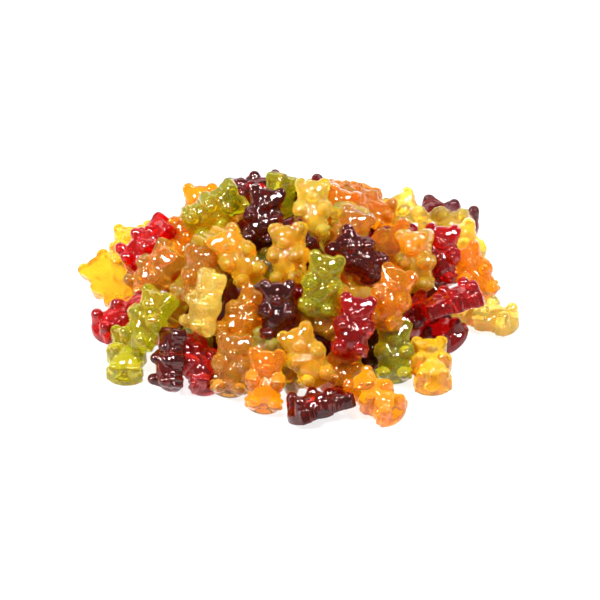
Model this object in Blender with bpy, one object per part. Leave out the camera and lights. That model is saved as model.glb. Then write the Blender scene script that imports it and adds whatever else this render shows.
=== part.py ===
"""A loose heap of gummy bears.

The heap is one solid, out to the uneven outline of the bears that lie in it.
Each bear is a few plain forms set in place and pose; the bears are let settle
against each other, joined to the mound below them and skinned as one body.

Lengths of a bear's forms are in bear lengths, places in the heap in millimetres.
The floor is z = 0 and the front of the heap faces -Y.
"""
import math

import bmesh
import bpy
import numpy as np
from mathutils import Matrix, Vector

MM = 0.001

# Driving sizes, in millimetres.
BEAR_LENGTH = 21.5
HEAP_RADIUS = 68.0          # to the middles of the outermost bears
HEAP_RISE = 33.0            # of the bears' middles, from the edge to the top
HEAP_MIDDLE = -6.0          # y of the mound's top: its back is the longer side
EDGE_HEIGHT = 4.0           # of the middles of the bears at the edge
SLOPE_POWER = 1.6           # rounds the top of the mound
TOP_LINE = 32.0             # the mound's back stays below this line, as seen from the front
TOP_LINE_FALL = 0.005       # how fast the line falls to both sides
VIEW_TILT = math.radians(32)            # the side from which the heap is laid out
VIEW = np.array((0, -math.cos(VIEW_TILT), math.sin(VIEW_TILT)))
TOUCH = 0.3                 # how far soft bears press into each other
NEAR = 27.0                 # bears further apart than this can't touch
CROWDED = 1.3               # a filling bear that overlaps more than this is left out
PULL_HOME = 0.06            # how fast a pushed bear creeps back to its place
LAID_GIVE = (0.3, 0.15)     # how readily a bear laid by hand moves along and across the view
FILLER_GIVE = (0.7, 0.7)    # and one that fills the rest

# The mound that fills the heap below the bears.
CORE_DEPTH = 8.0            # below the bears' middles
CORE_RADIUS = 54.0
CORE_EDGE = 5.0             # height of the mound where it meets the floor

# The skin over it all.
SKIN_VOXEL = 1.1
SKIN_TRIANGLES = 9400

# Forms of a bear, in bear lengths. The back is flat at z = 0, the belly faces +z,
# the feet are at y = -0.5 and the ears at y = 0.5.
# Upright forms with a narrower top: x, y, half width, half length, height.
WALLS = [
    (0.0, -0.11, 0.255, 0.33, 0.28),            # trunk
    (0.0, 0.25, 0.245, 0.20, 0.28),             # head
]
PAIRED_WALLS = [
    (0.155, -0.35, 0.14, 0.14, 0.27),           # legs
    (0.185, 0.0, 0.115, 0.12, 0.27),            # arms
    (0.160, 0.40, 0.09, 0.09, 0.25),            # ears
]
# Round forms: x, y, z, half sizes.
DOMES = [
    (0.0, -0.14, 0.19, 0.19, 0.24, 0.135),      # belly
    (0.0, 0.19, 0.27, 0.10, 0.08, 0.085),       # snout
]
PAIRED_DOMES = [
    (0.150, -0.315, 0.24, 0.11, 0.11, 0.115),   # feet
    (0.176, -0.005, 0.25, 0.10, 0.10, 0.105),   # hands
]
MIDDLE = 0.15               # height of a bear's middle over its flat back

# Balls that stand for a bear while the heap settles: x, y, z, radius.
TRUNK_BALLS = [(side * 0.13, y, 0.14, 0.14) for side in (-1, 1) for y in (-0.33, -0.11, 0.11, 0.33)]
SPINE_BALLS = [(0.0, y, 0.15, 0.15) for y in (-0.34, -0.17, 0.0, 0.17, 0.33)]
PAW_BALLS = [(side * x, y, 0.20, 0.12) for side in (-1, 1) for x, y in ((0.18, 0.0), (0.165, -0.33))]
HEAD_BALLS = [(-0.17, 0.405, 0.12, 0.09), (0.17, 0.405, 0.12, 0.09), (0.0, 0.18, 0.28, 0.08)]
BALLS = np.array(TRUNK_BALLS + SPINE_BALLS + PAW_BALLS + HEAD_BALLS) * BEAR_LENGTH

# Bears laid by hand: place of the middle (x, y, z), then the pose in degrees.
# turn: which way the belly faces, 0 = to the front, positive = to the right.
# lift: how far the belly faces up, 0 = the bear stands, 90 = it lies on its back.
# roll: how far the head leans to the right, as seen from the belly's side.
FRONT_EDGE = [
    (-56, -36, 6, -5, 70, 0),
    (-42, -45, 10, -65, 20, -25),
    (-32, -43, 6, 30, 55, 0),
    (-22, -48, 10, 5, 30, 10),
    (-11, -59, 10, 0, 30, 5),
    (2, -54, 17, 0, 30, -25),
    (6, -62, 5, -133, 71, -68),
    (14, -49, 9, 25, 45, 35),
    (24, -62, 6, 5, 65, -40),
    (30, -43, 11, 0, 30, 0),
    (42, -42, 6, 5, 70, 0),
]
FRONT_SLOPE = [
    (-57, -18, 9, -20, 75, 45),
    (-49, -33, 18, -35, 50, 5),
    (-31, -33, 24, -65, 25, -15),
    (-18, -35, 20, 0, 50, 35),
    (-32, -33, 12, 20, 60, 70),
    (-7, -38, 24, 0, 30, 0),
    (7, -35, 32, 5, 30, 15),
    (17, -46, 23, 0, 30, 10),
    (17, -22, 23, 30, 50, 60),
    (29, -34, 26, -10, 35, 15),
    (35, -27, 15, 5, 60, 60),
    (48, -22, 18, 30, 112, -85),
    (44, -19, 6, -45, 60, -88),
    (61, -8, 4, -16, 95, -80),
]
LEFT_SIDE = [
    (-62, 3, 7, 165, -60, 50),
    (-52, -12, 6, 0, 80, 0),
    (-48, -5, 17, -50, 40, 15),
    (-32, -18, 25, 5, 30, 5),
    (-51, 12, 19, -75, 45, -5),
    (-57, 28, 6, 0, 75, 5),
    (-46, 20, 11, 0, 40, 0),
    (-37, 9, 19, -5, 30, -5),
]
RIGHT_SIDE = [
    (29, 6, 22, -25, 70, 55),
    (28, -2, 26, 180, -30, -60),
    (37, -11, 26, -20, 30, -10),
    (46, 4, 19, 0, 30, 5),
    (36, 26, 19, -5, 40, -30),
    (47, 37, 10, -10, 45, -95),
    (50, 46, 9, 70, 78, 0),
    (55, 20, 8, 0, 30, -20),
    (57, 7, 10, 0, 30, -25),
]
TOP = [
    (-20, -18, 32, 0, 30, -35),
    (-4, -20, 34, -25, 30, -15),
    (-12, 1, 35, 0, 30, 10),
    (-28, 14, 30, 15, 10, 60),
    (-33, 30, 19, 0, 30, 0),
    (-15, 25, 32, 5, 95, -80),
    (-8, 16, 31, -125, -5, -35),
    (4, -2, 40, 0, 30, 0),
    (12, 15, 27, 0, 30, 20),
    (22, 21, 27, 60, 70, -20),
    (18, 35, 23, 135, 60, 55),
    (16, -3, 30, 0, 30, 25),
    (19, -20, 34, 10, 40, -45),
]
LAID_BY_HAND = FRONT_EDGE + FRONT_SLOPE + LEFT_SIDE + RIGHT_SIDE + TOP

# Bears that fill the rest, in rings: how deep below the mound's surface,
# the clear distance they need, and the rings' radii.
FILL_LAYERS = [
    (0.0, 12.5, (65, 52, 39, 26, 13, 1)),
    (9.0, 10.5, (57, 43, 29, 15, 1)),
    (18.0, 10.0, (58, 46, 34)),
]
FILL_SPACING = 15.0
FILL_SEED = 4
FRONT_LINE = -50.0          # no filling bear lies in front of this line
OPEN_EDGE = 50.0            # nor lies outside this radius in the front half

# Bears in the hollows that are left: how deep below the mound's surface they are tried,
# how far apart, in how many poses, and how deep they may press into the others.
HOLLOW_DEPTHS = (5.0, 9.0, 13.0, 17.0, 21.0)
HOLLOW_STEP = 4.0
HOLLOW_POSES = 12
HOLLOW_PRESS = 1.4
HOLLOW_RADIUS = 52.0
HOLLOW_SEED = 7


def mound_height(x, y):
    """Height of the bears' middles at a place in the heap."""
    run = math.hypot(x, y - HEAP_MIDDLE) / HEAP_RADIUS
    round_top = EDGE_HEIGHT + HEAP_RISE * (1 - run ** SLOPE_POWER)
    top_line = TOP_LINE - TOP_LINE_FALL * x ** 2
    back_slope = (top_line - y * math.sin(VIEW_TILT)) / math.cos(VIEW_TILT)
    return min(round_top, back_slope)


def pose(turn, lift, roll):
    """Turning of a bear from its own axes to the heap's."""
    return np.array(
        Matrix.Rotation(math.radians(turn), 3, "Z")
        @ Matrix.Rotation(math.radians(90 - lift), 3, "X")
        @ Matrix.Rotation(math.radians(-roll), 3, "Z")
    )


def ball_places(middles, poses):
    """Centres of every bear's balls."""
    offsets = BALLS[:, :3] - (0, 0, MIDDLE * BEAR_LENGTH)
    return middles[:, None, :] + np.einsum("nij,kj->nki", poses, offsets)


def settle(middles, poses, give, steps=120):
    """Push overlapping bears apart until they only touch.

    `give` says how readily each bear moves: along the line of view, and across it.
    A bear that gives way less across it keeps its place as seen from the front.
    """
    home = middles.copy()
    offsets = ball_places(middles, poses) - middles[:, None, :]
    give_along = give[:, :1]
    give_across = give[:, 1:]
    for step in range(steps):
        if step % 10 == 0:
            apart = np.linalg.norm(middles[:, None] - middles[None], axis=2)
            pairs = np.nonzero(np.triu(apart < NEAR, 1))
        shove = shoves(middles, offsets, pairs)[0]
        push = np.zeros_like(middles)
        np.add.at(push, pairs[0], shove)
        np.add.at(push, pairs[1], -shove)
        pull = PULL_HOME * (home - middles)
        push_along = (push @ VIEW)[:, None] * VIEW
        pull_along = (pull @ VIEW)[:, None] * VIEW
        move = give_along * (push_along + pull_along)
        move += give_across * (push - push_along) + (1 - give_across) * (pull - pull_along)
        move *= give_along > 0
        longest = np.linalg.norm(move, axis=1, keepdims=True)
        middles = middles + move * np.minimum(1, 1 / np.maximum(longest, 1e-9))
        lowest = (middles[:, None, 2] + offsets[..., 2] - BALLS[:, 3]).min(1)
        middles[:, 2] -= np.minimum(lowest, 0)
    return middles


def shoves(middles, offsets, pairs):
    """How far each pair of bears must part, and how deep the two overlap."""
    first, second = pairs
    reach = BALLS[:, 3][:, None] + BALLS[:, 3][None] - TOUCH
    balls = middles[:, None, :] + offsets
    gap = balls[first][:, :, None, :] - balls[second][:, None, :, :]
    length = np.linalg.norm(gap, axis=3)
    over = np.clip(reach - length, 0, None)
    way = (gap / np.maximum(length, 1e-6)[..., None] * over[..., None]).sum((1, 2))
    size = np.linalg.norm(way, axis=1)
    depth = over.max((1, 2))
    return way / np.maximum(size, 1e-9)[:, None] * depth[:, None], depth


def loose_fit(middles, poses, laid):
    """Which bears stay: all those laid by hand, and each filler that found room."""
    offsets = ball_places(middles, poses) - middles[:, None, :]
    keep = np.ones(len(middles), bool)
    apart = np.linalg.norm(middles[:, None] - middles[None], axis=2)
    pairs = np.nonzero(np.triu(apart < NEAR, 1))
    depth = shoves(middles, offsets, pairs)[1]
    for first, second, deep in zip(*pairs, depth):
        if deep > CROWDED and keep[first] and second >= laid:
            keep[second] = False
    return keep


def fill(middles, poses):
    """Add bears in rings wherever no bear lies near."""
    rng = np.random.default_rng(FILL_SEED)
    middles = list(middles)
    poses = list(poses)
    for depth, clear, rings in FILL_LAYERS:
        for ring in rings:
            count = max(1, int(2 * math.pi * ring / FILL_SPACING))
            start = rng.uniform(0, 2 * math.pi)
            for place in range(count):
                angle = start + place * 2 * math.pi / count + rng.uniform(-0.05, 0.05)
                radius = ring + rng.uniform(-2, 2)
                x = radius * math.cos(angle)
                y = HEAP_MIDDLE + radius * math.sin(angle)
                surface = mound_height(x, y)
                z = max(surface - depth, EDGE_HEIGHT)
                turn = math.degrees(angle) + 90 + rng.uniform(-35, 35)
                lift = rng.uniform(25, 80)
                roll = rng.uniform(-180, 180)
                near = min(math.dist((x, y, z), other) for other in middles)
                in_front = y < FRONT_LINE or (y < 0 and ring > OPEN_EDGE)
                if near < clear or in_front or surface < 1:
                    continue
                middles.append(np.array((x, y, z)))
                poses.append(pose(turn, lift, roll))
    return np.array(middles), np.array(poses)


def overlap(balls, other):
    """How deep the balls of a bear in several poses sink into those of the others."""
    reach = BALLS[:, 3][:, None] + BALLS[:, 3][None] - TOUCH
    gap = balls[:, None, :, None, :] - other[None, :, None, :, :]
    return (reach - np.linalg.norm(gap, axis=4)).max((1, 2, 3))


def fill_hollows(middles, poses):
    """Add bears deeper in the heap wherever one fits between the others."""
    rng = np.random.default_rng(HOLLOW_SEED)
    steps = np.arange(-HOLLOW_RADIUS, HOLLOW_RADIUS + 1, HOLLOW_STEP)
    for depth in HOLLOW_DEPTHS:
        for x in steps:
            for y in steps:
                z = mound_height(x, y) - depth
                inside = math.hypot(x, y - HEAP_MIDDLE) < HOLLOW_RADIUS and y > FRONT_LINE + depth
                if z < EDGE_HEIGHT or not inside:
                    continue
                spot = np.array((x, y, z))
                near = np.linalg.norm(middles - spot, axis=1)
                if near.min() < 2 * HOLLOW_STEP:
                    continue
                tries = rng.uniform((-180, 0, -180), (180, 90, 180), (HOLLOW_POSES, 3))
                turned = np.array([pose(*row) for row in tries])
                balls = ball_places(np.repeat(spot[None], HOLLOW_POSES, axis=0), turned)
                close = near < NEAR
                press = overlap(balls, ball_places(middles[close], poses[close]))
                above = (balls[..., 2] - BALLS[:, 3]).min(1) > 0
                press[~above] = np.inf
                best = press.argmin()
                if press[best] < HOLLOW_PRESS:
                    middles = np.vstack((middles, spot))
                    poses = np.concatenate((poses, turned[best:best + 1]))
    return middles, poses


def centred(middles, poses):
    """Move the whole heap over the origin, by the outline of its balls."""
    balls = ball_places(middles, poses)
    radii = BALLS[:, 3, None]
    low = (balls - radii).min((0, 1))
    high = (balls + radii).max((0, 1))
    return middles - ((low + high) / 2 * (1, 1, 0))


def lay_heap():
    """Places and poses of all the bears."""
    by_hand = np.array(LAID_BY_HAND, float)
    middles = by_hand[:, :3]
    poses = np.array([pose(*row) for row in by_hand[:, 3:]])
    laid = len(middles)
    middles = settle(middles, poses, np.full((laid, 2), LAID_GIVE))
    middles, poses = fill(middles, poses)
    give = np.full((len(middles), 2), FILLER_GIVE)
    give[:laid] = 0
    middles = settle(middles, poses, give)
    keep = loose_fit(middles, poses, laid)
    middles, poses = fill_hollows(middles[keep], poses[keep])
    return centred(middles, poses), poses


def add_wall(bm, x, y, half_x, half_y, height):
    """An upright form with a flat foot and a narrower top."""
    place = Matrix.Translation((x, y, height / 2)) @ Matrix.Diagonal((half_x, half_y, height, 1))
    bmesh.ops.create_cone(bm, cap_ends=True, segments=14, radius1=1, radius2=0.82, depth=1, matrix=place)


def add_dome(bm, x, y, z, half_x, half_y, half_z):
    """A round form."""
    place = Matrix.Translation((x, y, z)) @ Matrix.Diagonal((half_x, half_y, half_z, 1))
    bmesh.ops.create_uvsphere(bm, u_segments=12, v_segments=8, radius=1, matrix=place)


def bear_mesh():
    """One bear as a few overlapping closed forms, lying on its back at the origin."""
    bm = bmesh.new()
    for row in WALLS:
        add_wall(bm, *row)
    for row in DOMES:
        add_dome(bm, *row)
    for side in (-1, 1):
        for x, *rest in PAIRED_WALLS:
            add_wall(bm, side * x, *rest)
        for x, *rest in PAIRED_DOMES:
            add_dome(bm, side * x, *rest)
    mesh = bpy.data.meshes.new("bear")
    bm.to_mesh(mesh)
    bm.free()
    return mesh


def core_point(bm, radius, part, height):
    """A point part of the way round the core, at a height or on the mound's surface."""
    angle = 2 * math.pi * part
    x = radius * math.cos(angle)
    y = radius * math.sin(angle)
    if height is None:
        height = mound_height(x, y) - CORE_DEPTH
        edge = (radius / CORE_RADIUS) ** 8
        height += edge * (CORE_EDGE - height)
    return bm.verts.new((x * MM, y * MM, height * MM))


def add_core(bm):
    """The mound below the bears, from under the floor up to their undersides."""
    sides = 48
    rings = 12
    top = core_point(bm, 0, 0, None)
    loops = []
    for ring in range(1, rings + 1):
        radius = CORE_RADIUS * ring / rings
        loops.append([core_point(bm, radius, side / sides, None) for side in range(sides)])
    loops.append([core_point(bm, CORE_RADIUS, side / sides, -3.0) for side in range(sides)])
    for side in range(sides):
        following = (side + 1) % sides
        bm.faces.new((top, loops[0][side], loops[0][following]))
        for inner, outer in zip(loops, loops[1:]):
            bm.faces.new((inner[side], outer[side], outer[following], inner[following]))
    bm.faces.new(list(reversed(loops[-1])))


def keep_largest_shell(bm):
    """Drop closed pockets that lie inside the body."""
    left = set(bm.verts)
    shells = []
    while left:
        grow = [left.pop()]
        shell = []
        while grow:
            vert = grow.pop()
            shell.append(vert)
            for edge in vert.link_edges:
                other = edge.other_vert(vert)
                if other in left:
                    left.remove(other)
                    grow.append(other)
        shells.append(shell)
    shells.sort(key=len)
    for shell in shells[:-1]:
        bmesh.ops.delete(bm, geom=shell, context="VERTS")


def cut_flat(bm):
    """Cut the underside flat at the floor and close it."""
    geom = bm.verts[:] + bm.edges[:] + bm.faces[:]
    cut = bmesh.ops.bisect_plane(
        bm, geom=geom, dist=1e-7, plane_co=(0, 0, 0), plane_no=(0, 0, 1), clear_inner=True
    )
    rim = [item for item in cut["geom_cut"] if isinstance(item, bmesh.types.BMEdge)]
    bmesh.ops.contextual_create(bm, geom=rim)
    bmesh.ops.triangulate(bm, faces=bm.faces[:])


def apply_modifier(body, kind, **settings):
    """Give the body a modifier and apply it."""
    modifier = body.modifiers.new(kind.title(), kind)
    for name, value in settings.items():
        setattr(modifier, name, value)
    bpy.context.view_layer.objects.active = body
    bpy.ops.object.modifier_apply(modifier=modifier.name)


def sugar_material():
    """Glossy amber, the commonest colour in the heap."""
    material = bpy.data.materials.new("amber_gummy")
    material.use_nodes = True
    shader = material.node_tree.nodes["Principled BSDF"]
    shader.inputs["Base Color"].default_value = (0.72, 0.27, 0.03, 1)
    shader.inputs["Roughness"].default_value = 0.2
    shader.inputs["Metallic"].default_value = 0.0
    return material


def build_heap():
    """The heap's one solid."""
    bear = bear_mesh()
    middles, poses = lay_heap()
    bm = bmesh.new()
    add_core(bm)
    for middle, turning in zip(middles, poses):
        spot = Matrix(turning.tolist()).to_4x4()
        spot.translation = Vector(middle) * MM
        scale = Matrix.Scale(BEAR_LENGTH * MM, 4)
        back = Matrix.Translation((0, 0, -MIDDLE))
        copy = bear.copy()
        copy.transform(spot @ scale @ back)
        bm.from_mesh(copy)
        bpy.data.meshes.remove(copy)
    bpy.data.meshes.remove(bear)
    mesh = bpy.data.meshes.new("bear_heap")
    bm.to_mesh(mesh)
    bm.free()
    heap = bpy.data.objects.new("bear_heap", mesh)
    bpy.context.collection.objects.link(heap)
    mesh.materials.append(sugar_material())
    apply_modifier(heap, "REMESH", mode="VOXEL", voxel_size=SKIN_VOXEL * MM)
    bm = bmesh.new()
    bm.from_mesh(mesh)
    keep_largest_shell(bm)
    bmesh.ops.triangulate(bm, faces=bm.faces[:])
    triangles = len(bm.faces)
    bm.to_mesh(mesh)
    bm.free()
    apply_modifier(heap, "DECIMATE", ratio=SKIN_TRIANGLES / triangles)
    bm = bmesh.new()
    bm.from_mesh(mesh)
    cut_flat(bm)
    keep_largest_shell(bm)
    bm.to_mesh(mesh)
    bm.free()
    return heap


def clear_scene():
    """Remove whatever the file already holds."""
    for item in list(bpy.data.objects):
        bpy.data.objects.remove(item)


clear_scene()
build_heap()
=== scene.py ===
"""A loose heap of gummy bears in mixed colours, on a pale floor.

Every bear is a copy of one modelled bear. They lie in the places that the frame's
solid heap was made from, over a small core of fused gum. Lengths of a bear's forms
are in bear lengths, places in the heap in millimetres.
"""
import math

import bpy
import numpy as np
from mathutils import Matrix, Vector


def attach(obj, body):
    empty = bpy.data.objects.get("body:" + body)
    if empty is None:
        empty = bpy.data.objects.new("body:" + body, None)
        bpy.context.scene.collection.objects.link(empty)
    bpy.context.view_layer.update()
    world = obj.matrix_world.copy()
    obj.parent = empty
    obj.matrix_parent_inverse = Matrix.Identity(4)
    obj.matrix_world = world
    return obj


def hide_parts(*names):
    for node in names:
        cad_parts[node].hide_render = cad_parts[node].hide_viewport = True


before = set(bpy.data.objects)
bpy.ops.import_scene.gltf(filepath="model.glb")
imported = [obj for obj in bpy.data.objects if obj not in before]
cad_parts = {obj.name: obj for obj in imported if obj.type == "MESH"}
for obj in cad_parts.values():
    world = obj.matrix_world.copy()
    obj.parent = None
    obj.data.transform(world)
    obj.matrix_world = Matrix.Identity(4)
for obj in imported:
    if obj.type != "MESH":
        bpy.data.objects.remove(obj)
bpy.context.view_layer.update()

MM = 0.001

# Driving sizes of the heap, the same as the solid's, in millimetres.
BEAR_LENGTH = 21.5
HEAP_RADIUS = 68.0          # to the middles of the outermost bears
HEAP_RISE = 33.0            # of the bears' middles, from the edge to the top
HEAP_MIDDLE = -6.0          # y of the mound's top: its back is the longer side
EDGE_HEIGHT = 4.0           # of the middles of the bears at the edge
SLOPE_POWER = 1.6           # rounds the top of the mound
TOP_LINE = 32.0             # the mound's back stays below this line, as seen from the front
TOP_LINE_FALL = 0.005       # how fast the line falls to both sides
VIEW_TILT = math.radians(32)            # the side from which the heap is laid out
VIEW = np.array((0, -math.cos(VIEW_TILT), math.sin(VIEW_TILT)))
TOUCH = 0.3                 # how far soft bears press into each other
NEAR = 27.0                 # bears further apart than this can't touch
CROWDED = 1.3               # a filling bear that overlaps more than this is left out
PULL_HOME = 0.06            # how fast a pushed bear creeps back to its place
LAID_GIVE = (0.3, 0.15)     # how readily a listed bear moves along and across the view
FILLER_GIVE = (0.7, 0.7)    # and one that fills the rest
MIDDLE = 0.15               # height of a bear's middle over its flat back

# Balls that stand for a bear while the heap settles: x, y, z, radius.
TRUNK_BALLS = [(side * 0.13, y, 0.14, 0.14) for side in (-1, 1) for y in (-0.33, -0.11, 0.11, 0.33)]
SPINE_BALLS = [(0.0, y, 0.15, 0.15) for y in (-0.34, -0.17, 0.0, 0.17, 0.33)]
PAW_BALLS = [(side * x, y, 0.20, 0.12) for side in (-1, 1) for x, y in ((0.18, 0.0), (0.165, -0.33))]
HEAD_BALLS = [(-0.17, 0.405, 0.12, 0.09), (0.17, 0.405, 0.12, 0.09), (0.0, 0.18, 0.28, 0.08)]
BALLS = np.array(TRUNK_BALLS + SPINE_BALLS + PAW_BALLS + HEAD_BALLS) * BEAR_LENGTH

# Bears listed one by one: place of the middle (x, y, z), then the pose in degrees
# and the colour.
# turn: which way the belly faces, 0 = to the front, positive = to the right.
# lift: how far the belly faces up, 0 = the bear stands, 90 = it lies on its back.
# roll: how far the head leans to the right, as seen from the belly's side.
FRONT_EDGE = [
    (-56, -36, 6, -5, 70, 0, "olive"),
    (-42, -45, 10, -65, 20, -25, "maroon"),
    (-32, -43, 6, 30, 55, 0, "garnet"),
    (-22, -48, 10, 5, 30, 10, "brown"),
    (-11, -59, 10, 0, 30, 5, "orange"),
    (2, -54, 17, 0, 30, -25, "amber"),
    (6, -62, 5, -133, 71, -68, "maroon"),
    (14, -49, 9, 25, 45, 35, "orange"),
    (24, -62, 6, 5, 65, -40, "orange"),
    (30, -43, 11, 0, 30, 0, "olive"),
    (42, -42, 6, 5, 70, 0, "amber"),
]
FRONT_SLOPE = [
    (-57, -18, 9, -20, 75, 45, "garnet"),
    (-49, -33, 18, -35, 50, 5, "olive"),
    (-31, -33, 24, -65, 25, -15, "lemon"),
    (-18, -35, 20, 0, 50, 35, "orange"),
    (-32, -33, 12, 20, 60, 70, "olive"),
    (-7, -38, 24, 0, 30, 0, "maroon"),
    (7, -35, 32, 5, 30, 15, "olive"),
    (17, -46, 23, 0, 30, 10, "garnet"),
    (17, -22, 23, 30, 50, 60, "orange"),
    (29, -34, 26, -10, 35, 15, "orange"),
    (35, -27, 15, 5, 60, 60, "garnet"),
    (48, -22, 18, 30, 112, -85, "garnet"),
    (44, -19, 6, -45, 60, -88, "garnet"),
    (61, -8, 4, -16, 95, -80, "lemon"),
]
LEFT_SIDE = [
    (-62, 3, 7, 165, -60, 50, "amber"),
    (-52, -12, 6, 0, 80, 0, "orange"),
    (-48, -5, 17, -50, 40, 15, "brown"),
    (-32, -18, 25, 5, 30, 5, "brown"),
    (-51, 12, 19, -75, 45, -5, "red"),
    (-57, 28, 6, 0, 75, 5, "amber"),
    (-46, 20, 11, 0, 40, 0, "yellow"),
    (-37, 9, 19, -5, 30, -5, "orange"),
]
RIGHT_SIDE = [
    (29, 6, 22, -25, 70, 55, "garnet"),
    (28, -2, 26, 180, -30, -60, "orange"),
    (37, -11, 26, -20, 30, -10, "amber"),
    (46, 4, 19, 0, 30, 5, "garnet"),
    (36, 26, 19, -5, 40, -30, "yellow"),
    (47, 37, 10, -10, 45, -95, "yellow"),
    (50, 46, 9, 70, 78, 0, "maroon"),
    (55, 20, 8, 0, 30, -20, "yellow"),
    (57, 7, 10, 0, 30, -25, "orange"),
]
TOP = [
    (-20, -18, 32, 0, 30, -35, "amber"),
    (-4, -20, 34, -25, 30, -15, "amber"),
    (-12, 1, 35, 0, 30, 10, "maroon"),
    (-28, 14, 30, 15, 10, 60, "olive"),
    (-33, 30, 19, 0, 30, 0, "orange"),
    (-15, 25, 32, 5, 95, -80, "maroon"),
    (-8, 16, 31, -125, -5, -35, "olive"),
    (4, -2, 40, 0, 30, 0, "yellow"),
    (12, 15, 27, 0, 30, 20, "orange"),
    (22, 21, 27, 60, 70, -20, "orange"),
    (18, 35, 23, 135, 60, 55, "orange"),
    (16, -3, 30, 0, 30, 25, "brown"),
    (19, -20, 34, 10, 40, -45, "maroon"),
]
LAID_BY_HAND = FRONT_EDGE + FRONT_SLOPE + LEFT_SIDE + RIGHT_SIDE + TOP

# Bears that fill the rest, in rings: how deep below the mound's surface,
# the clear distance they need, and the rings' radii.
FILL_LAYERS = [
    (0.0, 12.5, (65, 52, 39, 26, 13, 1)),
    (9.0, 10.5, (57, 43, 29, 15, 1)),
    (18.0, 10.0, (58, 46, 34)),
]
FILL_SPACING = 15.0
FILL_SEED = 4
FRONT_LINE = -50.0          # no filling bear lies in front of this line
OPEN_EDGE = 50.0            # nor lies outside this radius in the front half

# Bears in the hollows that are left: how deep below the mound's surface they are tried,
# how far apart, in how many poses, and how deep they may press into the others.
HOLLOW_DEPTHS = (5.0, 9.0, 13.0, 17.0, 21.0)
HOLLOW_STEP = 4.0
HOLLOW_POSES = 12
HOLLOW_PRESS = 1.4
HOLLOW_RADIUS = 52.0
HOLLOW_SEED = 7

FILL_COLOURS = ["maroon", "garnet", "orange", "amber", "yellow", "olive"]
FILL_SHARES = [0.29, 0.26, 0.21, 0.14, 0.04, 0.06]
COLOUR_SEED = 9


def mound_height(x, y):
    """Height of the bears' middles at a place in the heap."""
    run = math.hypot(x, y - HEAP_MIDDLE) / HEAP_RADIUS
    round_top = EDGE_HEIGHT + HEAP_RISE * (1 - run ** SLOPE_POWER)
    top_line = TOP_LINE - TOP_LINE_FALL * x ** 2
    back_slope = (top_line - y * math.sin(VIEW_TILT)) / math.cos(VIEW_TILT)
    return min(round_top, back_slope)


def pose(turn, lift, roll):
    """Turning of a bear from its own axes to the heap's."""
    return np.array(
        Matrix.Rotation(math.radians(turn), 3, "Z")
        @ Matrix.Rotation(math.radians(90 - lift), 3, "X")
        @ Matrix.Rotation(math.radians(-roll), 3, "Z")
    )


def ball_places(middles, poses):
    """Centres of every bear's balls."""
    offsets = BALLS[:, :3] - (0, 0, MIDDLE * BEAR_LENGTH)
    return middles[:, None, :] + np.einsum("nij,kj->nki", poses, offsets)


def settle(middles, poses, give, steps=120):
    """Push overlapping bears apart until they only touch.

    `give` says how readily each bear moves: along the line of view, and across it.
    A bear that gives way less across it keeps its place as seen from the front.
    """
    home = middles.copy()
    offsets = ball_places(middles, poses) - middles[:, None, :]
    give_along = give[:, :1]
    give_across = give[:, 1:]
    for step in range(steps):
        if step % 10 == 0:
            apart = np.linalg.norm(middles[:, None] - middles[None], axis=2)
            pairs = np.nonzero(np.triu(apart < NEAR, 1))
        shove = shoves(middles, offsets, pairs)[0]
        push = np.zeros_like(middles)
        np.add.at(push, pairs[0], shove)
        np.add.at(push, pairs[1], -shove)
        pull = PULL_HOME * (home - middles)
        push_along = (push @ VIEW)[:, None] * VIEW
        pull_along = (pull @ VIEW)[:, None] * VIEW
        move = give_along * (push_along + pull_along)
        move += give_across * (push - push_along) + (1 - give_across) * (pull - pull_along)
        move *= give_along > 0
        longest = np.linalg.norm(move, axis=1, keepdims=True)
        middles = middles + move * np.minimum(1, 1 / np.maximum(longest, 1e-9))
        lowest = (middles[:, None, 2] + offsets[..., 2] - BALLS[:, 3]).min(1)
        middles[:, 2] -= np.minimum(lowest, 0)
    return middles


def shoves(middles, offsets, pairs):
    """How far each pair of bears must part, and how deep the two overlap."""
    first, second = pairs
    reach = BALLS[:, 3][:, None] + BALLS[:, 3][None] - TOUCH
    balls = middles[:, None, :] + offsets
    gap = balls[first][:, :, None, :] - balls[second][:, None, :, :]
    length = np.linalg.norm(gap, axis=3)
    over = np.clip(reach - length, 0, None)
    way = (gap / np.maximum(length, 1e-6)[..., None] * over[..., None]).sum((1, 2))
    size = np.linalg.norm(way, axis=1)
    depth = over.max((1, 2))
    return way / np.maximum(size, 1e-9)[:, None] * depth[:, None], depth


def loose_fit(middles, poses, laid):
    """Which bears stay: all the listed ones, and each filler that found room."""
    offsets = ball_places(middles, poses) - middles[:, None, :]
    keep = np.ones(len(middles), bool)
    apart = np.linalg.norm(middles[:, None] - middles[None], axis=2)
    pairs = np.nonzero(np.triu(apart < NEAR, 1))
    depth = shoves(middles, offsets, pairs)[1]
    for first, second, deep in zip(*pairs, depth):
        if deep > CROWDED and keep[first] and second >= laid:
            keep[second] = False
    return keep


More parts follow.
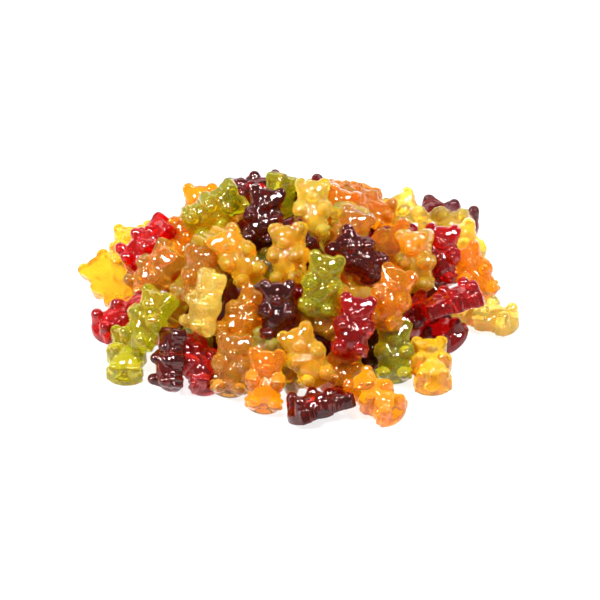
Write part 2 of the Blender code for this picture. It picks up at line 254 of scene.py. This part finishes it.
def fill(middles, poses):
    """Add bears in rings wherever no bear lies near."""
    rng = np.random.default_rng(FILL_SEED)
    middles = list(middles)
    poses = list(poses)
    for depth, clear, rings in FILL_LAYERS:
        for ring in rings:
            count = max(1, int(2 * math.pi * ring / FILL_SPACING))
            start = rng.uniform(0, 2 * math.pi)
            for place in range(count):
                angle = start + place * 2 * math.pi / count + rng.uniform(-0.05, 0.05)
                radius = ring + rng.uniform(-2, 2)
                x = radius * math.cos(angle)
                y = HEAP_MIDDLE + radius * math.sin(angle)
                surface = mound_height(x, y)
                z = max(surface - depth, EDGE_HEIGHT)
                turn = math.degrees(angle) + 90 + rng.uniform(-35, 35)
                lift = rng.uniform(25, 80)
                roll = rng.uniform(-180, 180)
                near = min(math.dist((x, y, z), other) for other in middles)
                in_front = y < FRONT_LINE or (y < 0 and ring > OPEN_EDGE)
                if near < clear or in_front or surface < 1:
                    continue
                middles.append(np.array((x, y, z)))
                poses.append(pose(turn, lift, roll))
    return np.array(middles), np.array(poses)


def overlap(balls, other):
    """How deep the balls of a bear in several poses sink into those of the others."""
    reach = BALLS[:, 3][:, None] + BALLS[:, 3][None] - TOUCH
    gap = balls[:, None, :, None, :] - other[None, :, None, :, :]
    return (reach - np.linalg.norm(gap, axis=4)).max((1, 2, 3))


def fill_hollows(middles, poses):
    """Add bears deeper in the heap wherever one fits between the others."""
    rng = np.random.default_rng(HOLLOW_SEED)
    steps = np.arange(-HOLLOW_RADIUS, HOLLOW_RADIUS + 1, HOLLOW_STEP)
    for depth in HOLLOW_DEPTHS:
        for x in steps:
            for y in steps:
                z = mound_height(x, y) - depth
                inside = math.hypot(x, y - HEAP_MIDDLE) < HOLLOW_RADIUS and y > FRONT_LINE + depth
                if z < EDGE_HEIGHT or not inside:
                    continue
                spot = np.array((x, y, z))
                near = np.linalg.norm(middles - spot, axis=1)
                if near.min() < 2 * HOLLOW_STEP:
                    continue
                tries = rng.uniform((-180, 0, -180), (180, 90, 180), (HOLLOW_POSES, 3))
                turned = np.array([pose(*row) for row in tries])
                balls = ball_places(np.repeat(spot[None], HOLLOW_POSES, axis=0), turned)
                close = near < NEAR
                press = overlap(balls, ball_places(middles[close], poses[close]))
                above = (balls[..., 2] - BALLS[:, 3]).min(1) > 0
                press[~above] = np.inf
                best = press.argmin()
                if press[best] < HOLLOW_PRESS:
                    middles = np.vstack((middles, spot))
                    poses = np.concatenate((poses, turned[best:best + 1]))
    return middles, poses


def centred(middles, poses):
    """Move the whole heap over the origin, by the outline of its balls."""
    balls = ball_places(middles, poses)
    radii = BALLS[:, 3, None]
    low = (balls - radii).min((0, 1))
    high = (balls + radii).max((0, 1))
    return middles - ((low + high) / 2 * (1, 1, 0))


def lay_heap():
    """Places and poses of all the bears."""
    by_hand = np.array([row[:6] for row in LAID_BY_HAND], float)
    middles = by_hand[:, :3]
    poses = np.array([pose(*row) for row in by_hand[:, 3:]])
    laid = len(middles)
    middles = settle(middles, poses, np.full((laid, 2), LAID_GIVE))
    middles, poses = fill(middles, poses)
    give = np.full((len(middles), 2), FILLER_GIVE)
    give[:laid] = 0
    middles = settle(middles, poses, give)
    keep = loose_fit(middles, poses, laid)
    middles, poses = fill_hollows(middles[keep], poses[keep])
    return centred(middles, poses), poses


# The bear.

UNIT = BEAR_LENGTH * MM
BEAR_TRIANGLES = 5600
GRAIN = 0.0085              # of the skin drawn over its forms
SKIN_ROUNDS = 7             # how often the skin over the large forms is smoothed
DETAIL_ROUNDS = 2           # and the one over the fine details
ROLL_STEPS = 8              # of a rolled edge

# Locks of fur: their half width and height, how deep they sit in the side wall,
# how far apart they are in half widths, and where along the bear they start and end.
LOCK_HALF = (0.038, 0.048)
LOCK_HEIGHT = (0.19, 0.225)
LOCK_SUNK = 0.72
LOCK_PITCH = (1.8, 2.1)
LOCK_ROLL = 0.035
LOCK_DRAFT = 0.9
LOCKS_FROM = -0.37
LOCKS_TO = 0.33
LOCK_SEED = 3

# Half width of the side wall along the bear, which the locks follow: y, half width.
OUTLINE = [
    (-0.40, 0.255), (-0.34, 0.288), (-0.28, 0.278), (-0.22, 0.244), (-0.16, 0.230),
    (-0.10, 0.256), (-0.04, 0.294), (0.01, 0.304), (0.06, 0.288), (0.12, 0.242), (0.18, 0.222),
    (0.26, 0.234), (0.34, 0.262), (0.40, 0.276),
]


def deselect():
    """Nothing is selected before the next piece is made."""
    bpy.ops.object.select_all(action="DESELECT")


def dome(x, y, z, half_x, half_y, half_z, segments=32, rings=20):
    """A round form."""
    deselect()
    bpy.ops.mesh.primitive_uv_sphere_add(
        segments=segments, ring_count=rings, radius=UNIT,
        location=(x * UNIT, y * UNIT, z * UNIT), scale=(half_x, half_y, half_z),
    )
    bpy.ops.object.transform_apply()
    return bpy.context.object


def raised_ring(x, y, z, radius, thickness):
    """A raised ring, lying flat."""
    deselect()
    bpy.ops.mesh.primitive_torus_add(
        location=(x * UNIT, y * UNIT, z * UNIT), major_radius=radius * UNIT,
        minor_radius=thickness * UNIT, major_segments=36, minor_segments=14,
    )
    bpy.ops.object.transform_apply()
    return bpy.context.object


def wall(x, y, half_x, half_y, height, roll, draft=0.94):
    """An upright form with a flat foot, a little draft and a rolled top edge."""
    deselect()
    bpy.ops.mesh.primitive_cone_add(
        vertices=48, radius1=UNIT, radius2=UNIT * draft, depth=UNIT,
        location=(x * UNIT, y * UNIT, height / 2 * UNIT), scale=(half_x, half_y, height),
    )
    bpy.ops.object.transform_apply()
    form = bpy.context.object
    bpy.ops.object.mode_set(mode="EDIT")
    bpy.ops.mesh.select_all(action="DESELECT")
    bpy.ops.object.mode_set(mode="OBJECT")
    for edge in form.data.edges:
        ends = (form.data.vertices[end].co.z for end in edge.vertices)
        edge.select = min(ends) > (height - 0.001) * UNIT
    bpy.ops.object.mode_set(mode="EDIT")
    bpy.context.tool_settings.mesh_select_mode = (False, True, False)
    bpy.ops.mesh.bevel(offset=roll * UNIT, segments=ROLL_STEPS, affect="EDGES")
    bpy.ops.object.mode_set(mode="OBJECT")
    return form


def pair(make, x, *rest):
    """The same form on both sides of the bear."""
    return [make(-x, *rest), make(x, *rest)]


def finish_with(form, kind, **settings):
    """Give a form a modifier and apply it."""
    bpy.context.view_layer.objects.active = form
    modifier = form.modifiers.new(kind.title(), kind)
    for name, value in settings.items():
        setattr(modifier, name, value)
    bpy.ops.object.modifier_apply(modifier=modifier.name)


def join(forms):
    """Make one object of several."""
    deselect()
    for form in forms:
        form.select_set(True)
    bpy.context.view_layer.objects.active = forms[0]
    bpy.ops.object.join()
    return bpy.context.object


def fuse(forms, rounds):
    """Join forms and draw one smooth skin over them."""
    body = join(forms)
    finish_with(body, "REMESH", mode="VOXEL", voxel_size=GRAIN * UNIT)
    finish_with(body, "SMOOTH", factor=0.5, iterations=rounds)
    return body


def fur():
    """Locks of fur down both side walls."""
    rng = np.random.default_rng(LOCK_SEED)
    places, halves = np.array(OUTLINE).T
    locks = []
    for side in (-1, 1):
        y = LOCKS_FROM
        while y < LOCKS_TO:
            half = rng.uniform(*LOCK_HALF)
            out = np.interp(y, places, halves) - half * LOCK_SUNK
            locks.append(wall(side * out, y, half, half, rng.uniform(*LOCK_HEIGHT), LOCK_ROLL, LOCK_DRAFT))
            y += half * rng.uniform(*LOCK_PITCH)
    return locks


def model_bear():
    """One bear on its back at the origin, its belly up and its ears towards +Y."""
    forms = [
        wall(0, -0.06, 0.226, 0.32, 0.275, 0.09),               # trunk
        wall(0, 0.15, 0.212, 0.20, 0.255, 0.08),                # neck
        wall(0, 0.275, 0.232, 0.18, 0.280, 0.085),              # head
        wall(0, -0.300, 0.175, 0.150, 0.205, 0.09, 0.85),       # seat between the legs
        wall(0, -0.325, 0.280, 0.173, 0.150, 0.075, 0.92),      # and its lower edge
        dome(0, -0.13, 0.185, 0.168, 0.225, 0.130),             # belly
        dome(0, 0.285, 0.16, 0.205, 0.155, 0.152),              # brow
        dome(0, 0.185, 0.272, 0.102, 0.076, 0.082),             # snout
    ]
    forms += pair(wall, 0.118, 0.31, 0.132, 0.13, 0.270, 0.08)          # temples
    forms += pair(wall, 0.102, 0.20, 0.115, 0.12, 0.262, 0.08)          # cheeks
    forms += pair(wall, 0.180, 0.395, 0.101, 0.100, 0.240, 0.05)        # ears
    forms += pair(raised_ring, 0.180, 0.392, 0.225, 0.060, 0.034)              # and their rims
    forms += pair(wall, 0.192, 0.0, 0.122, 0.118, 0.300, 0.065)         # arms
    forms += pair(dome, 0.162, 0.075, 0.20, 0.14, 0.075, 0.085)         # shoulders
    forms += pair(dome, 0.168, -0.008, 0.266, 0.092, 0.092, 0.106)      # hands
    forms += pair(wall, 0.148, -0.325, 0.120, 0.124, 0.285, 0.08, 0.78)         # legs
    forms += pair(dome, 0.152, -0.330, 0.262, 0.098, 0.092, 0.104)      # feet
    body = fuse(forms + fur(), SKIN_ROUNDS)
    details = [body, dome(0, 0.215, 0.335, 0.030, 0.020, 0.018, 16, 10)]            # nose
    details += pair(dome, 0.070, 0.262, 0.292, 0.020, 0.018, 0.020, 16, 10)         # eyes
    details += pair(dome, 0.014, -0.10, 0.300, 0.010, 0.16, 0.016, 12, 24)          # seam down the belly
    body = fuse(details, DETAIL_ROUNDS)
    triangles = 2 * len(body.data.polygons)
    finish_with(body, "DECIMATE", ratio=BEAR_TRIANGLES / triangles)
    bpy.ops.object.shade_smooth()
    return body


# How the copies have sagged: bend and twist in degrees, and thickness.
SAGS = [(0, 0, 1.0), (9, 5, 0.97), (-8, -6, 1.03), (5, -9, 0.95), (-5, 8, 1.02)]


def soft_copies(bear):
    """Copies of the bear that have sagged a little, each in its own way."""
    kinds = []
    for bend, twist, thickness in SAGS:
        deselect()
        bear.select_set(True)
        bpy.context.view_layer.objects.active = bear
        bpy.ops.object.duplicate()
        copy = bpy.context.object
        if bend:
            bent = dict(deform_method="BEND", deform_axis="X", angle=math.radians(bend))
            finish_with(copy, "SIMPLE_DEFORM", **bent)
            twisted = dict(deform_method="TWIST", deform_axis="Y", angle=math.radians(twist))
            finish_with(copy, "SIMPLE_DEFORM", **twisted)
        copy.scale = (1, 1, thickness)
        bpy.ops.object.transform_apply()
        kinds.append(copy)
    return kinds


# The gum.

# Colour of the body, of the painted rim glow at its outline (painted light for light shining through thin
# edges), of the light that gets through, how dense the gum is in 1/m, and how clear it is.
GUMS = {
    "maroon": ((0.12, 0.006, 0.003), (0.34, 0.012, 0.006), (0.85, 0.06, 0.02), 130, 0.89),
    "garnet": ((0.46, 0.004, 0.003), (0.80, 0.008, 0.006), (0.92, 0.015, 0.01), 100, 0.89),
    "red": ((0.62, 0.001, 0.002), (0.88, 0.003, 0.004), (0.97, 0.01, 0.01), 100, 0.88),
    "orange": ((0.88, 0.32, 0.003), (0.98, 0.54, 0.010), (0.99, 0.56, 0.01), 60, 0.865),
    "amber": ((0.97, 0.52, 0.015), (1.0, 0.76, 0.05), (0.99, 0.74, 0.03), 55, 0.865),
    "yellow": ((1.0, 0.68, 0.06), (1.0, 0.82, 0.12), (1.0, 0.80, 0.06), 40, 0.85),
    "lemon": ((1.0, 0.70, 0.11), (1.0, 0.88, 0.28), (1.0, 0.82, 0.14), 40, 0.88),
    "olive": ((0.49, 0.44, 0.006), (0.85, 0.80, 0.020), (0.88, 0.84, 0.02), 65, 0.865),
    "brown": ((0.78, 0.40, 0.05), (0.96, 0.64, 0.08), (0.93, 0.62, 0.10), 80, 0.91),
}


CLOUD_SCALE = 160           # of the faint clouds in the gum, in 1/m
CLOUD_SHADES = (0.70, 1.08)             # darkest and lightest cloud, as shares of the body's colour
PAINTED_RIM_GLOW_BLEND = 0.35            # how wide the painted rim glow is: a lighter colour at the outline, painted light for light through thin edges
POLISH_SCALE = 260          # of the uneven shine
POLISH = (0.02, 0.07)       # roughness where it shines most and least
SCATTER = 0.004             # how far light wanders below the skin, in metres
DIMPLE_DEPTH = 0.0006


def noise(nodes, link, place, scale, detail):
    """A soft uneven pattern, fixed to the piece."""
    pattern = nodes.new("ShaderNodeTexNoise")
    pattern.inputs["Scale"].default_value = scale
    pattern.inputs["Detail"].default_value = detail
    link(place.outputs["Object"], pattern.inputs["Vector"])
    return pattern.outputs["Fac"]


def gum(name):
    """Clear fruit gum: faintly cloudy inside, oiled to a shine, with a painted rim glow, a lighter colour
    towards the outline that stands in for light shining through the thin edges.
    """
    body, painted_rim_glow, through, density, clear = GUMS[name]
    material = bpy.data.materials.new("gum_" + name)
    material.use_nodes = True
    nodes = material.node_tree.nodes
    link = material.node_tree.links.new
    shader = nodes["Principled BSDF"]
    out = nodes["Material Output"]
    place = nodes.new("ShaderNodeTexCoord")

    shade = nodes.new("ShaderNodeMix")
    shade.data_type = "RGBA"
    dark, light = CLOUD_SHADES
    shade.inputs["A"].default_value = (*[c * dark for c in body], 1)
    shade.inputs["B"].default_value = (*[c * light for c in body], 1)
    link(noise(nodes, link, place, CLOUD_SCALE, 3), shade.inputs["Factor"])
    # Painted rim glow: where the surface turns away from the view, the colour is mixed towards the lighter
    # rim colour, which stands in for light shining through the thin edges.
    painted_glow_mask = nodes.new("ShaderNodeLayerWeight")
    painted_glow_mask.inputs["Blend"].default_value = PAINTED_RIM_GLOW_BLEND
    edge = nodes.new("ShaderNodeMix")
    edge.data_type = "RGBA"
    edge.inputs["B"].default_value = (*painted_rim_glow, 1)
    link(painted_glow_mask.outputs["Facing"], edge.inputs["Factor"])
    link(shade.outputs["Result"], edge.inputs["A"])
    link(edge.outputs["Result"], shader.inputs["Base Color"])

    polish = noise(nodes, link, place, POLISH_SCALE, 2)
    gloss = nodes.new("ShaderNodeMapRange")
    gloss.inputs["To Min"].default_value, gloss.inputs["To Max"].default_value = POLISH
    link(polish, gloss.inputs["Value"])
    link(gloss.outputs["Result"], shader.inputs["Roughness"])
    dimple = nodes.new("ShaderNodeBump")
    dimple.inputs["Strength"].default_value = 0.02
    dimple.inputs["Distance"].default_value = DIMPLE_DEPTH
    link(polish, dimple.inputs["Height"])
    link(dimple.outputs["Normal"], shader.inputs["Normal"])

    shader.inputs["IOR"].default_value = 1.45
    shader.inputs["Transmission Weight"].default_value = clear
    shader.inputs["Subsurface Weight"].default_value = 1.0
    shader.inputs["Subsurface Radius"].default_value = (1.0, 0.5, 0.2)
    shader.inputs["Subsurface Scale"].default_value = SCATTER
    depth = nodes.new("ShaderNodeVolumeAbsorption")
    depth.inputs["Color"].default_value = (*through, 1)
    depth.inputs["Density"].default_value = density
    link(depth.outputs["Volume"], out.inputs["Volume"])
    return material


# Laying the heap.

SIZES = (0.97, 1.03)        # of the smallest and the largest bear
FLOOR_GAP = 0.0001          # below the lowest bears, in metres
CORE_HALVES = (0.045, 0.043, 0.025)     # in metres
CORE_FOOT = 0.0005          # height of the core's flat underside


def lay_bear(kind, size, middle, turning):
    """One bear of its own in its place, standing on the floor or above it."""
    mesh = kind.data.copy()
    mesh.transform(Matrix.Translation((0, 0, -MIDDLE * UNIT)))
    mesh.transform(Matrix.Diagonal((size, size, size, 1)))
    spot = Matrix(turning.tolist()).to_4x4()
    spot.translation = Vector(middle) * MM
    mesh.transform(spot)
    lowest = min(vert.co.z for vert in mesh.vertices)
    if lowest < FLOOR_GAP:
        mesh.transform(Matrix.Translation((0, 0, FLOOR_GAP - lowest)))
    bear = bpy.data.objects.new("bear", mesh)
    bpy.context.collection.objects.link(bear)
    return bear


def stand_for_heap(piece):
    """The piece is shown instead of the solid heap and rides on its one body."""
    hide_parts("bear_heap")
    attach(piece, "root")


def lay_bears(kinds):
    """Copies of the bear in every place, joined colour by colour."""
    middles, poses = lay_heap()
    rng = np.random.default_rng(COLOUR_SEED)
    colours = [row[6] for row in LAID_BY_HAND]
    fillers = len(middles) - len(colours)
    colours += [str(rng.choice(FILL_COLOURS, p=FILL_SHARES)) for filler in range(fillers)]
    by_colour = {}
    for middle, turning, colour in zip(middles, poses, colours):
        kind = kinds[rng.integers(len(kinds))]
        bear = lay_bear(kind, rng.uniform(*SIZES), middle, turning)
        by_colour.setdefault(colour, []).append(bear)
    for colour, bears in sorted(by_colour.items()):
        piece = join(bears)
        piece.name = "bears_" + colour
        piece.data.materials.clear()
        piece.data.materials.append(gum(colour))
        stand_for_heap(piece)


def add_core():
    """A low mound of gum stuck together below the bears."""
    deselect()
    bpy.ops.mesh.primitive_uv_sphere_add(
        segments=64, ring_count=32, radius=1, location=(0, 0, 0), scale=CORE_HALVES
    )
    bpy.ops.object.transform_apply()
    core = bpy.context.object
    core.name = "core"
    bpy.ops.object.mode_set(mode="EDIT")
    bpy.ops.mesh.select_all(action="SELECT")
    foot = (0, 0, CORE_FOOT)
    bpy.ops.mesh.bisect(plane_co=foot, plane_no=(0, 0, 1), use_fill=True, clear_inner=True)
    bpy.ops.object.mode_set(mode="OBJECT")
    bpy.ops.object.shade_smooth()
    core.data.materials.append(gum("maroon"))
    stand_for_heap(core)


# The stage.

VIEW_WIDTH = 0.19672        # across the view at the heap, in metres
SENSOR = 36                 # of the camera, in millimetres
DISTANCE = 1.6              # from the camera to the heap, in metres
AIM_UP = 3.7705 * MM        # how far the camera aims above the heap's middle
MIDDLE_SHIFT = Vector((0.42, 3.55, 0)) * MM


def set_camera():
    """A long lens, looking down at the heap from the front."""
    camera = bpy.data.cameras.new("camera")
    camera.sensor_width = SENSOR
    camera.lens = SENSOR * DISTANCE / VIEW_WIDTH
    camera.clip_start = 0.05
    camera.clip_end = 20
    holder = bpy.data.objects.new("camera", camera)
    bpy.context.collection.objects.link(holder)
    ahead = Vector((0, math.cos(VIEW_TILT), -math.sin(VIEW_TILT)))
    up = Vector((0, math.sin(VIEW_TILT), math.cos(VIEW_TILT)))
    holder.location = MIDDLE_SHIFT + up * AIM_UP - ahead * DISTANCE
    holder.rotation_euler = (math.pi / 2 - VIEW_TILT, 0, 0)
    bpy.context.scene.camera = holder


def set_floor():
    """A wide white table that glows a little, so that it stays white."""
    deselect()
    bpy.ops.mesh.primitive_plane_add(size=8)
    floor = bpy.context.object
    floor.name = "floor"
    material = bpy.data.materials.new("white_table")
    material.use_nodes = True
    shader = material.node_tree.nodes["Principled BSDF"]
    shader.inputs["Base Color"].default_value = (0.15, 0.15, 0.15, 1)
    shader.inputs["Roughness"].default_value = 0.6
    shader.inputs["Emission Color"].default_value = (1, 1, 1, 1)
    shader.inputs["Emission Strength"].default_value = 0.8
    floor.data.materials.append(material)


# Soft boxes: azimuth from the front and elevation in degrees, distance, width and height
# in metres, and power in watts.
SOFT_BOXES = {
    "left_box": (-62, 38, 0.8, 0.15, 0.24, 18.0),
    "right_box": (58, 52, 0.8, 0.14, 0.19, 15.0),
    "front_box": (-8, 66, 0.8, 0.10, 0.09, 5.0),
    "back_box": (180, 45, 1.0, 1.4, 0.5, 5.0),
}
LIGHTS_AIM = Vector((0, 0, 0.02))
ROOM_GLOW = 0.35


def softbox(name, azimuth, elevation, distance, width, height, power):
    """A flat light that faces the heap."""
    light = bpy.data.lights.new(name, "AREA")
    light.shape = "RECTANGLE"
    light.size = width
    light.size_y = height
    light.energy = power
    holder = bpy.data.objects.new(name, light)
    bpy.context.collection.objects.link(holder)
    turn, tilt = math.radians(azimuth), math.radians(elevation)
    back = Vector((math.sin(turn) * math.cos(tilt), -math.cos(turn) * math.cos(tilt), math.sin(tilt)))
    holder.location = back * distance + LIGHTS_AIM
    holder.rotation_euler = back.to_track_quat("Z", "Y").to_euler()


def set_lights():
    """The soft boxes and an even glow from the room."""
    for name, settings in SOFT_BOXES.items():
        softbox(name, *settings)
    world = bpy.data.worlds.new("studio")
    bpy.context.scene.world = world
    world.use_nodes = True
    glow = world.node_tree.nodes["Background"]
    glow.inputs["Color"].default_value = (1, 1, 1, 1)
    glow.inputs["Strength"].default_value = ROOM_GLOW


bear = model_bear()
kinds = soft_copies(bear)
lay_bears(kinds)
for spare in [bear] + kinds:
    bpy.data.objects.remove(spare)
add_core()
set_floor()
set_lights()
set_camera()
bpy.context.scene.view_settings.view_transform = "Standard"
